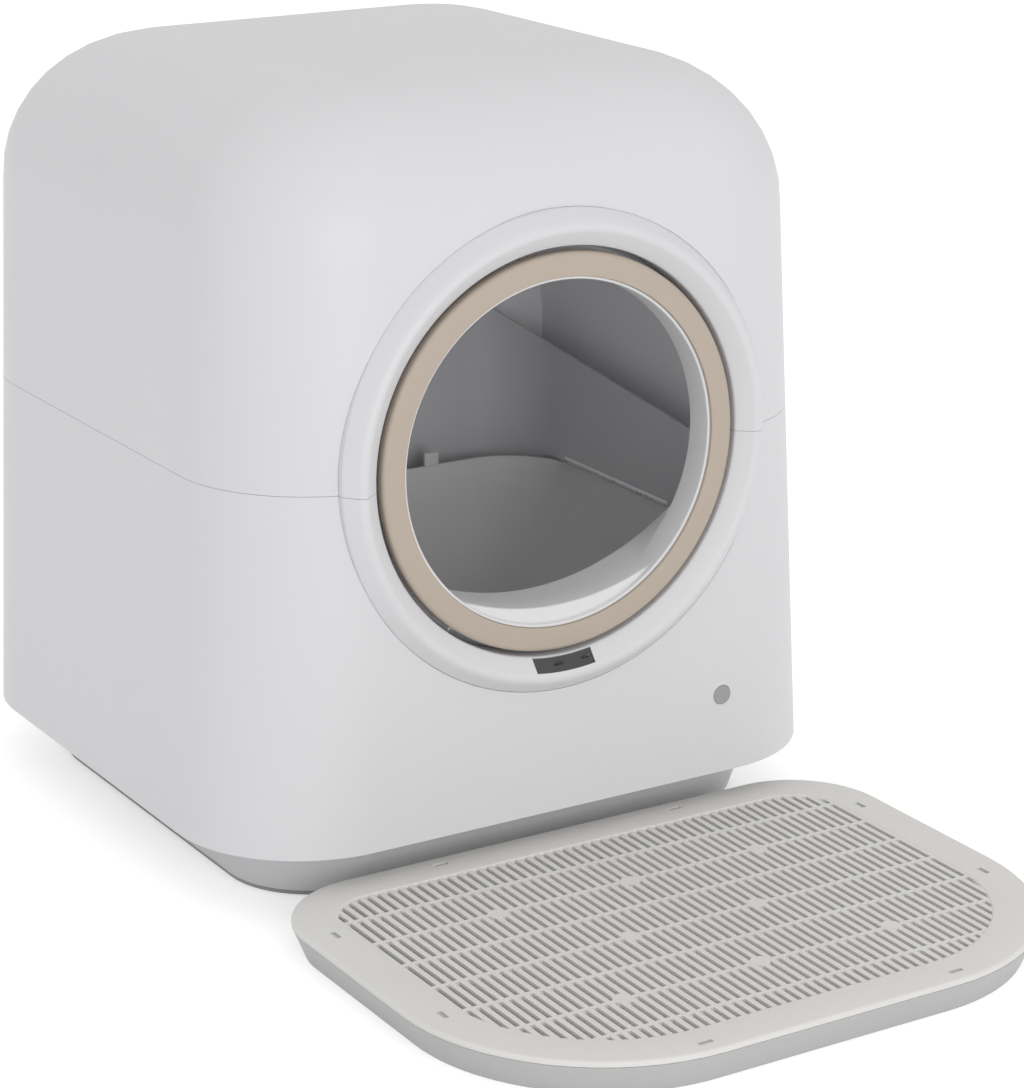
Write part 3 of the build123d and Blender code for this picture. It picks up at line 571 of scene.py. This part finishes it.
def bezel_body():
    """The whole bezel ring, soft at its crest and flush with the drafted casing at its outer edge."""
    inside = BEZEL_EDGE + BEZEL_WALL
    sleeve = BEZEL_HOLE + BEZEL_WALL
    lining = BEZEL_OUTER - BEZEL_WALL
    bm = spun_profile([
        (BEZEL_FOOT, BEZEL_OUTER, 0), (BEZEL_EDGE, BEZEL_OUTER, 0.6), (-BEZEL_PEAK, BEZEL_CREST, 6),
        (BEZEL_EDGE, BEZEL_HOLE, 1.2), (BEZEL_SLEEVE, BEZEL_HOLE, 0), (BEZEL_SLEEVE, sleeve, 0),
        (inside, sleeve, 0), (BEZEL_CREST_WALL - BEZEL_PEAK, BEZEL_CREST, 3), (inside, lining, 0),
        (BEZEL_FOOT, lining, 0)])
    for vert in bm.verts:
        share = (from_axis(vert.co) / MM - BEZEL_CREST) / (BEZEL_OUTER - BEZEL_CREST)
        if share > 0 and vert.co.y < ENTRY_Y + BEZEL_SHAPED * MM:
            vert.co.y += share * (front_of_casing(vert.co.z) - ENTRY_Y - BEZEL_EDGE * MM)
    return bm


def keep_side(bm, height, keep_above):
    """Cuts a body level at a height, keeps one side and closes the cut."""
    cut = cut_along(bm, (0, 0, height), (0, 0, 1), drop_front=not keep_above, drop_behind=keep_above)
    bmesh.ops.holes_fill(bm, edges=of_kind(cut["geom_cut"], BMEdge), sides=0)
    bmesh.ops.recalc_face_normals(bm, faces=bm.faces)


def in_display(vert):
    """Whether a point lies on the stretch of the bezel's inner flank that the display takes."""
    near, far = DISPLAY_DEPTHS
    inner, outer = DISPLAY_RADII
    return (abs(vert.co.x) < (WINDOW_HALF + 0.1) * MM and vert.co.z < AXIS_Z
            and near < (vert.co.y - ENTRY_Y) / MM < far and inner * MM < from_axis(vert.co) < outer * MM)


def into_flank(place):
    """Direction from a point of the bezel's inner flank into the bezel."""
    outward = Vector((place.x, 0, place.z - AXIS_Z)).normalized()
    return outward * FLANK_OUTWARD + Vector((0, FLANK_INWARD, 0))


def add_bezel():
    """Upper half on the cover, lower half with the display's recess on the casing."""
    upper = bezel_body()
    keep_side(upper, SEAM_Z, keep_above=True)
    crown = make_piece("bezel_crown", upper, "upper_bezel_left")
    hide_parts("upper_bezel_right")
    lower = bezel_body()
    keep_side(lower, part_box("lower_bezel")[1].z, keep_above=False)
    for side in (-WINDOW_HALF, WINDOW_HALF):
        cut_along(lower, (side * MM, 0, 0), (1, 0, 0))
    sunk = [face for face in lower.faces if all(in_display(vert) for vert in face.verts)]
    pushed = bmesh.ops.extrude_face_region(lower, geom=sunk)
    bmesh.ops.delete(lower, geom=sunk, context="FACES")
    for vert in of_kind(pushed["geom"], BMVert):
        vert.co += into_flank(vert.co) * DISPLAY_RECESS * MM
    make_piece("bezel_foot", lower, "lower_bezel")


def add_display():
    """Smoked window let into the bezel's flank, with two sensor lenses on its face."""
    glass = merged_copy("display_window")
    for vert in glass.verts:
        vert.co += into_flank(vert.co) * GLASS_SHIFT * MM
    make_piece("window_glass", glass, "display_window", sharp=30)
    lenses = bmesh.new()
    for x, radius in LENSES:
        place = from_ring(x, LENS_DEPTH, -(LENS_RADIUS**2 - x**2)**0.5)
        bmesh.ops.create_cone(lenses, cap_ends=True, segments=32, radius1=radius * MM,
                              radius2=radius * LENS_TAPER * MM, depth=LENS_HEIGHT * MM,
                              matrix=Matrix.Translation(place) @ Matrix.Rotation(LENS_TURN, 4, "X"))
    make_piece("sensor_lenses", lenses, "display_window", replaced=False)


def add_cover():
    """The cover's shell with even shading."""
    cover = make_piece("cover_shell", merged_copy("upper_cover"), "upper_cover", sharp=25)
    even = cover.modifiers.new("even_shading", "WEIGHTED_NORMAL")
    even.keep_sharp = True


def add_button_seat():
    """Thin raised lip round the power button."""
    low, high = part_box("power_button")
    centre = (low + high) / 2
    bm = bmesh.new()
    bm.faces.new([bm.verts.new((centre.x, front_of_casing(centre.z) + depth * MM, centre.z + radius * MM))
                  for depth, radius in LIP_PROFILE])
    spin_outline(bm, centre, LIP_STEPS)
    make_piece("button_lip", bm, "lower_casing", replaced=False)


def add_entry():
    """Ring and throat with soft edges, about the drum's axis."""
    ring = spun_profile([(0, RING_INNER, 0.8), (0, RING_OUTER, 3.2), (RING_DEPTH, RING_OUTER, 0.6),
                         (RING_DEPTH, RING_INNER, 0.4)])
    make_piece("ring_soft", ring, "entry_ring")
    outside = THROAT_INNER + MOULDED_WALL
    flange = THROAT_DEPTH - FLANGE_THICKNESS
    throat = spun_profile([
        (THROAT_LIP, THROAT_INNER, 1.2), (THROAT_DEPTH, THROAT_INNER, 0.5), (THROAT_DEPTH, FLANGE_OUTER, 0.3),
        (flange, FLANGE_OUTER, 0.3), (flange, outside, 0.3), (THROAT_LIP, outside, 0.6)])
    make_piece("throat_soft", throat, "throat")


# Inside the drum


def guard_height(x):
    """Height of the guard's arc at a place across, in metres."""
    return AXIS_Z + GUARD_CENTRE * MM - ((GUARD_RADIUS * MM)**2 - x**2)**0.5


def throat_height(x):
    """Height at which the guard meets the throat's lower wall at a place across, in metres."""
    return AXIS_Z - max(((THROAT_INNER + GUARD_SUNK) * MM)**2 - x**2, 0)**0.5


def add_guard():
    """Crescent plate at the throat's foot with a shelf that runs back over the tub's front."""
    bm = bmesh.new()
    turn = Matrix.Translation(from_ring(0, 0, 0)) @ Matrix.Rotation(radians(-90), 4, "X")
    bmesh.ops.create_circle(bm, cap_ends=False, segments=GUARD_STEPS, radius=GUARD_RADIUS * MM,
                            matrix=turn @ Matrix.Translation((0, 0, GUARD_FAR * MM)))
    bmesh.ops.translate(bm, vec=(0, 0, GUARD_CENTRE * MM), verts=bm.verts)
    beyond = [vert for vert in bm.verts if vert.co.z > AXIS_Z or abs(vert.co.x) > GUARD_HALF_FAR * MM]
    bmesh.ops.delete(bm, geom=beyond, context="VERTS")
    front = bm.edges[:]
    for travel in (GUARD_FAR - GUARD_NECK, GUARD_NECK - GUARD_NEAR):
        grown = bmesh.ops.extrude_edge_only(bm, edges=front)
        moved = of_kind(grown["geom"], BMVert)
        bmesh.ops.translate(bm, vec=(0, -travel * MM, 0), verts=moved)
        for vert in moved:
            vert.co.z = max(vert.co.z, throat_height(vert.co.x))
        front = [edge for edge in of_kind(grown["geom"], BMEdge)
                 if all(vert in moved and abs(vert.co.x) < GUARD_HALF_NEAR * MM for vert in edge.verts)]
    grown = bmesh.ops.extrude_edge_only(bm, edges=front)
    for vert in of_kind(grown["geom"], BMVert):
        vert.co.z = throat_height(vert.co.x)
    bmesh.ops.recalc_face_normals(bm, faces=bm.faces)
    round_off(bm, front, GUARD_FOLD, 4)
    corners = [vert for vert in bm.verts
               if vert.co.y > ENTRY_Y + (GUARD_FAR - 0.1) * MM and len(vert.link_edges) == 2]
    round_off(bm, corners, GUARD_CORNER, 5, "VERTICES", clamp=True)
    bmesh.ops.solidify(bm, geom=bm.faces[:], thickness=MOULDED_WALL * MM)
    bmesh.ops.recalc_face_normals(bm, faces=bm.faces)
    make_piece("guard_shelf", bm, "litter_guard", sharp=50)


def add_tub():
    """Grey tub: an upright rim band, then a bowl that deepens towards its middle."""
    bm = bmesh.new()
    floor = rounded_plan(bm, TUB_HALF * MM, ENTRY_Y + TUB_NEAR * MM, ENTRY_Y + TUB_FAR * MM,
                         TUB_NEAR_CORNER, TUB_FAR_CORNER, AXIS_Z + RIM_TOP * MM)
    bmesh.ops.inset_region(bm, faces=floor, thickness=MOULDED_WALL * MM, use_boundary=True,
                           use_even_offset=True)
    middle = Vector((0, ENTRY_Y + (TUB_NEAR + TUB_FAR) / 2 * MM, 0))
    last_share = 1
    for step in range(TUB_STEPS):
        share = 1 - step / TUB_STEPS
        grown = bmesh.ops.extrude_face_region(bm, geom=floor)
        bmesh.ops.delete(bm, geom=floor, context="FACES")
        moved = of_kind(grown["geom"], BMVert)
        floor = of_kind(grown["geom"], BMFace)
        shrink = share / last_share
        bmesh.ops.scale(bm, vec=(shrink, shrink, 1), space=Matrix.Translation(-middle), verts=moved)
        for vert in moved:
            vert.co.z = AXIS_Z + (RIM_TOP - RIM_BAND - TUB_DEPTH * (1 - share**2)) * MM
        last_share = share
    bmesh.ops.poke(bm, faces=floor)
    for step in range(-11, 12):
        cut_along(bm, (step * TUB_STRIP * MM, 0, 0), (1, 0, 0))
    for vert in bm.verts:
        if vert.co.y < ENTRY_Y + UNDER_GUARD * MM and abs(vert.co.x) < GUARD_HALF_FAR * MM:
            vert.co.z = min(vert.co.z, guard_height(vert.co.x) - GUARD_GAP * MM)
        if from_axis(vert.co) > DRUM_INSIDE * MM:
            side = ((DRUM_INSIDE * MM)**2 - (vert.co.z - AXIS_Z)**2)**0.5
            vert.co.x = side if vert.co.x > 0 else -side
    bmesh.ops.recalc_face_normals(bm, faces=bm.faces)
    make_piece("tub_soft", bm, "litter_liner", sharp=75)


def add_rim_tab():
    """Small tab that stands on the tub's back rim."""
    bm = bmesh.new()
    add_block(bm, TAB_SIZE, from_ring(TAB_X, TUB_FAR - TAB_SIZE[1] / 2, RIM_TOP + TAB_LIFT))
    round_off(bm, bm.edges[:], SMALL_ROUND, 3)
    make_piece("rim_tab", bm, "litter_liner", replaced=False)


def add_divider():
    """Wall on the tub's right and back. Its top rises backwards and left, its foot is open at the sieve."""
    bm = bmesh.new()
    plan = rounded_plan(bm, WALL_HALF * MM, ENTRY_Y - PAST_LIMITS * MM, ENTRY_Y + WALL_BACK * MM, 1,
                        WALL_CORNER, AXIS_Z + WALL_FOOT * MM)
    bmesh.ops.delete(bm, geom=plan, context="FACES_ONLY")
    grown = bmesh.ops.extrude_edge_only(bm, edges=bm.edges[:])
    rise = WALL_TOP - WALL_FOOT + PAST_LIMITS
    bmesh.ops.translate(bm, vec=(0, 0, rise * MM), verts=of_kind(grown["geom"], BMVert))
    near_end = from_ring(WALL_HALF, *TOP_EDGE_NEAR)
    far_end = from_ring(WALL_HALF, *TOP_EDGE_FAR)
    slant = (far_end - near_end).cross(from_ring(*CAMERA_FROM_RING) - near_end)
    limits = [(near_end, slant if slant.z > 0 else -slant), (from_ring(0, WALL_NEAR, 0), (0, -1, 0)),
              (from_ring(WALL_LEFT, 0, 0), (-1, 0, 0)), (from_ring(0, 0, WALL_TOP), (0, 0, 1))]
    for place, normal in limits:
        cut_along(bm, place, normal, drop_front=True)
    for place, normal in ((from_ring(0, SIEVE_NEAR, 0), (0, 1, 0)), (from_ring(0, SIEVE_FAR, 0), (0, 1, 0)),
                          (from_ring(0, 0, SIEVE_TOP), (0, 0, 1))):
        cut_along(bm, place, normal)
    opening = []
    for face in bm.faces:
        middle = face.calc_center_median()
        depth = (middle.y - ENTRY_Y) / MM
        right = middle.x > 0.95 * WALL_HALF * MM
        if right and SIEVE_NEAR < depth < SIEVE_FAR and middle.z < AXIS_Z + SIEVE_TOP * MM:
            opening.append(face)
    bmesh.ops.delete(bm, geom=opening, context="FACES")
    for vert in bm.verts:
        if vert.co.z < AXIS_Z and from_axis(vert.co) > DRUM_INSIDE * MM:
            vert.co.z = AXIS_Z - ((DRUM_INSIDE * MM)**2 - vert.co.x**2)**0.5
    bmesh.ops.recalc_face_normals(bm, faces=bm.faces)
    bmesh.ops.solidify(bm, geom=bm.faces[:], thickness=MOULDED_WALL * MM)
    make_piece("divider_wall", bm, "divider", finish="divider_shade")


def add_sieve():
    """Strip of narrow bars under a rounded rail, along the foot of the divider's right side."""
    bm = bmesh.new()
    length = SIEVE_FAR - SIEVE_NEAR
    for step in range(SIEVE_BARS):
        depth = SIEVE_NEAR + length * (step + 0.5) / SIEVE_BARS
        add_block(bm, BAR_SIZE, from_ring(BAR_X, depth, RIM_TOP + 2))
    middle = SIEVE_NEAR + length / 2
    rail = add_block(bm, (RAIL_WIDTH, length, RAIL_HEIGHT), from_ring(RAIL_X, middle, RAIL_Z))
    round_off(bm, [edge for edge in bm.edges if all(vert in rail for vert in edge.verts)], SMALL_ROUND, 3)
    make_piece("sieve_rail", bm, "sieve_grate")


# Step mat


def field_lines(low, high, bars, width):
    """Edges of evenly spaced bars between two ends, each bar of one width."""
    pitch = (high - low - width) / (bars - 1)
    return [low + bar * pitch + side for bar in range(bars) for side in (0, width)]


def add_mat_field():
    """Field of short slots between long bars and flush cross ribs, with the rounded outline of the rim."""
    inset = (MAT_RIM - FIELD_LAP) * MM
    xs = field_lines(mat_low.x + inset, mat_high.x - inset, FIELD_SLOTS + 1, (SLOT_PITCH - SLOT_WIDTH) * MM)
    ribs = [MAT_MIDDLE_Y + (RIB_SHIFT + step * RIB_PITCH) * MM for step in range(-3, 4)]
    near = mat_low.y + (MAT_RIM - FIELD_LAP + END_BAR / 2) * MM
    far = mat_high.y - (MAT_RIM - FIELD_LAP + END_BAR / 2) * MM
    ys = [near - END_BAR * MM, near]
    ys += [rib + side * RIB_WIDTH / 2 * MM for rib in ribs for side in (-1, 1)]
    ys += [far, far + END_BAR * MM]
    bm = bmesh.new()
    bmesh.ops.create_grid(bm, x_segments=len(xs) - 1, y_segments=len(ys) - 1, size=0.5)
    for vert in bm.verts:
        column = round((vert.co.x + 0.5) * (len(xs) - 1))
        row = round((vert.co.y + 0.5) * (len(ys) - 1))
        vert.co = (xs[column], ys[row], mat_high.z - FIELD_DROP * MM)
    slots = []
    for face in bm.faces:
        place = face.calc_center_median()
        column = sum(x < place.x for x in xs) - 1
        row = sum(y < place.y for y in ys) - 1
        if column % 2 and row % 2:
            slots.append(face)
    bmesh.ops.delete(bm, geom=slots, context="FACES")
    raise_faces(bm, bm.faces[:], -FIELD_THICKNESS * MM)
    field = make_piece("mat_field", bm, "mat_grille", replaced=False)
    outline = bmesh.new()
    plan = rounded_plan(outline, mat_high.x - inset, mat_low.y + inset, mat_high.y - inset,
                        MAT_FRONT_CORNER - inset / MM, MAT_REAR_CORNER - inset / MM,
                        mat_low.z - CUT_MARGIN * MM, MAT_CORNER_STEPS)
    raise_faces(outline, plan, CUT_HEIGHT * MM)
    cut_with(field, outline, "INTERSECT")


def add_mat_pads():
    """Small round pads where the field stands on posts."""
    bm = bmesh.new()
    for depth, places in PAD_ROWS:
        for x in places:
            place = Vector((x * MM, ENTRY_Y + depth * MM, mat_high.z - PAD_DROP * MM))
            bmesh.ops.create_cone(bm, cap_ends=True, segments=28, radius1=PAD_RADIUS * MM,
                                  radius2=PAD_TOP_RADIUS * MM, depth=PAD_HEIGHT * MM,
                                  matrix=Matrix.Translation(place))
    make_piece("mat_pads", bm, "mat_grille", replaced=False)


def clip_hole_places():
    """Middle and turn of the eight clip holes in the rim, in metres and degrees."""
    half_length = (mat_high.y - mat_low.y) / 2
    sides = [(side * (mat_high.x - HOLE_FROM_SIDE * MM), MAT_MIDDLE_Y + row * MM, 90)
             for side in (-1, 1) for row in HOLE_ROWS]
    ends = [(x * HOLE_ACROSS * MM, MAT_MIDDLE_Y + end * (half_length - HOLE_FROM_END * MM), 0)
            for x in (-1, 1) for end in (-1, 1)]
    return sides + ends


def add_mat_rim():
    """Rim with rolled edges round the field, with the holes that the tray's hooks clip into."""
    bm = bmesh.new()
    plan = rounded_plan(bm, mat_high.x, mat_low.y, mat_high.y, MAT_FRONT_CORNER, MAT_REAR_CORNER, mat_high.z,
                        MAT_CORNER_STEPS)
    bmesh.ops.inset_region(bm, faces=plan, thickness=MAT_RIM * MM, use_boundary=True, use_even_offset=True)
    bmesh.ops.delete(bm, geom=plan, context="FACES")
    rings = [edge for edge in bm.edges if edge.is_boundary]
    raise_faces(bm, bm.faces[:], mat_low.z - mat_high.z)
    top = [edge for edge in rings if edge.is_valid]
    round_off(bm, top, RIM_ROUND, 5, clamp=True)
    rim = make_piece("mat_rim", bm, "mat_grille", sharp=40)
    cutter = bmesh.new()
    for x, y, turn in clip_hole_places():
        add_block(cutter, HOLE_SIZE, (x, y, mat_high.z), radians(turn))
    cut_with(rim, cutter, "DIFFERENCE")


add_camera()
add_bezel()
add_display()
add_cover()
add_entry()
add_guard()
add_tub()
add_rim_tab()
add_divider()
add_sieve()
add_mat_field()
add_mat_pads()
add_mat_rim()
add_button_seat()


# Studio


def add_floor():
    """Pale floor that runs out of sight, white where the camera looks at it, with the object's shadow."""
    bm = bmesh.new()
    bmesh.ops.create_grid(bm, x_segments=1, y_segments=1, size=9)
    mesh = bpy.data.meshes.new("floor")
    bm.to_mesh(mesh)
    bm.free()
    floor = bpy.data.objects.new("floor", mesh)
    bpy.context.scene.collection.objects.link(floor)
    material, tree, shader = new_material("floor")
    shader["Base Color"].default_value = (0.88, 0.88, 0.885, 1)
    shader["Roughness"].default_value = 0.9
    shader["Specular IOR Level"].default_value = 0.1
    glow = tree.nodes.new("ShaderNodeEmission")
    rays = tree.nodes.new("ShaderNodeLightPath")
    seen = add_math(tree, "MAXIMUM", rays.outputs["Is Camera Ray"], rays.outputs["Is Glossy Ray"])
    seen = add_math(tree, "MAXIMUM", seen, rays.outputs["Is Transmission Ray"])
    tree.links.new(add_math(tree, "MULTIPLY", seen, 0.42), glow.inputs["Strength"])
    both = tree.nodes.new("ShaderNodeAddShader")
    tree.links.new(tree.nodes["Principled BSDF"].outputs["BSDF"], both.inputs[0])
    tree.links.new(glow.outputs["Emission"], both.inputs[1])
    tree.links.new(both.outputs["Shader"], tree.nodes["Material Output"].inputs["Surface"])
    mesh.materials.append(material)


def add_lamp(name, place, aim, size, power):
    """Soft square lamp aimed at a point."""
    data = bpy.data.lights.new(name, "AREA")
    data.energy = power
    data.size = size
    lamp = bpy.data.objects.new(name, data)
    lamp.location = place
    lamp.rotation_euler = (Vector(aim) - Vector(place)).to_track_quat("-Z", "Y").to_euler()
    bpy.context.scene.collection.objects.link(lamp)


def add_world(strength):
    """Even light from all round, white where the camera sees past the floor."""
    world = bpy.data.worlds.new("world")
    world.use_nodes = True
    tree = world.node_tree
    background = tree.nodes["Background"]
    background.inputs["Color"].default_value = (1, 1, 1, 1)
    rays = tree.nodes.new("ShaderNodeLightPath")
    seen = add_math(tree, "MAXIMUM", rays.outputs["Is Camera Ray"], rays.outputs["Is Transmission Ray"])
    tree.links.new(add_math(tree, "MAXIMUM", seen, strength), background.inputs["Strength"])
    bpy.context.scene.world = world


add_floor()
add_lamp("lamp_key", place=(-0.5, -3.2, 0.9), aim=(0, 0, 0.3), size=1.8, power=23)
add_world(strength=0.82)
bpy.context.scene.view_settings.view_transform = "Standard"
